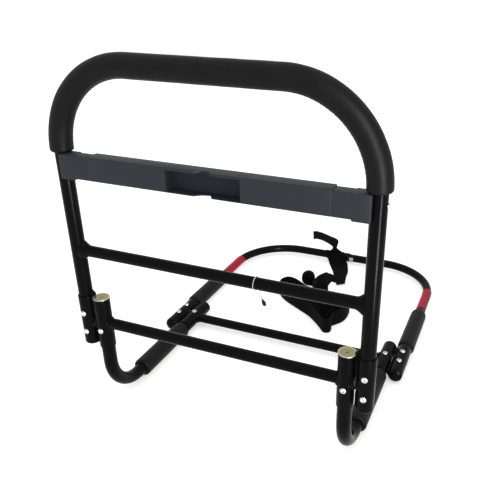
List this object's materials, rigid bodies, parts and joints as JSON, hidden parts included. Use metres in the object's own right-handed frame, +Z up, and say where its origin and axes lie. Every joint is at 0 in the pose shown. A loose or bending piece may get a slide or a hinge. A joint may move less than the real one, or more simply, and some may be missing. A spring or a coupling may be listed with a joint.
{
  "type": "bed rail",
  "caption": "Foam-gripped hoop handle hinged to a low base frame, with a second hoop for under the mattress, a light bar and a webbing strap.",
  "frame": {"origin": "middle of the bounding box on the floor, midway between the handle's front and the back of the loop", "axes": "+X to the right of someone facing the handle's front, +Y from the handle towards the loop under the mattress, +Z up"},
  "size_m": [0.5598, 0.7818, 0.6529],
  "materials": {
    "coated_steel": "satin black powder coat",
    "gold_steel": "yellow passivated plated steel",
    "zinc_steel": "bright zinc plate",
    "foam": "closed-cell foam, matt",
    "bar_plastic": "fine-textured slate grey moulding",
    "black_plastic": "moulded",
    "nylon": "natural nylon",
    "red_tape": "self-adhesive vinyl",
    "webbing": "woven webbing",
    "string": "waxed string"
  },
  "bodies": {
    "base": {"base_tube_left": "coated_steel", "base_tube_right": "coated_steel", "front_hinge_sleeve_left": "coated_steel", "front_hinge_sleeve_right": "coated_steel", "rear_hinge_sleeve_left": "coated_steel", "rear_hinge_sleeve_right": "coated_steel", "front_cross_tube": "coated_steel", "rear_cross_tube": "coated_steel", "end_cap_left": "gold_steel", "end_cap_right": "gold_steel", "base_foam_left": "foam", "base_foam_right": "foam", "base_front_bolt_left": "zinc_steel", "base_front_bolt_right": "zinc_steel", "base_rear_bolt_left": "zinc_steel", "base_rear_bolt_right": "zinc_steel", "front_pivot_bolt_left": "zinc_steel", "front_pivot_bolt_right": "zinc_steel", "rear_pivot_bolt_left": "zinc_steel", "rear_pivot_bolt_right": "zinc_steel", "front_hinge_washer_left": "nylon", "front_hinge_washer_right": "nylon", "rear_hinge_washer_left": "nylon", "rear_hinge_washer_right": "nylon"},
    "handle": {"handle_tube": "coated_steel", "handle_sleeve_left": "coated_steel", "handle_sleeve_right": "coated_steel", "stop_lug_left": "coated_steel", "stop_lug_right": "coated_steel", "upper_crossbar": "coated_steel", "grip_foam": "foam", "light_bar_housing": "bar_plastic", "light_bar_end_left": "bar_plastic", "light_bar_end_right": "bar_plastic", "light_bar_screw_left": "zinc_steel", "light_bar_screw_right": "zinc_steel", "handle_bolt_left_1": "zinc_steel", "handle_bolt_left_2": "zinc_steel", "handle_bolt_right_1": "zinc_steel", "handle_bolt_right_2": "zinc_steel", "tag_string": "string", "tag_toggle": "black_plastic"},
    "loop": {"loop_tube": "coated_steel", "loop_sleeve_left": "coated_steel", "loop_sleeve_right": "coated_steel", "loop_bolt_left_1": "zinc_steel", "loop_bolt_left_2": "zinc_steel", "loop_bolt_right_1": "zinc_steel", "loop_bolt_right_2": "zinc_steel", "loop_foam_left": "foam", "loop_foam_right": "foam", "red_band_left": "red_tape", "red_band_right": "red_tape", "strap_wrap": "webbing", "strap_tail": "webbing", "strap_band": "webbing", "strap_bundle": "webbing"}
  },
  "joints": [
    {"name": "handle_fold", "type": "hinge", "parent": "base", "child": "handle", "pos_m": [0, -0.37175, 0.1799], "axis": [-1, 0, 0], "range_deg": [0, 90]},
    {"name": "loop_fold", "type": "hinge", "parent": "base", "child": "loop", "pos_m": [0, -0.06605, 0.0175], "axis": [-1, 0, 0], "range_deg": [0, 160]}
  ]
}
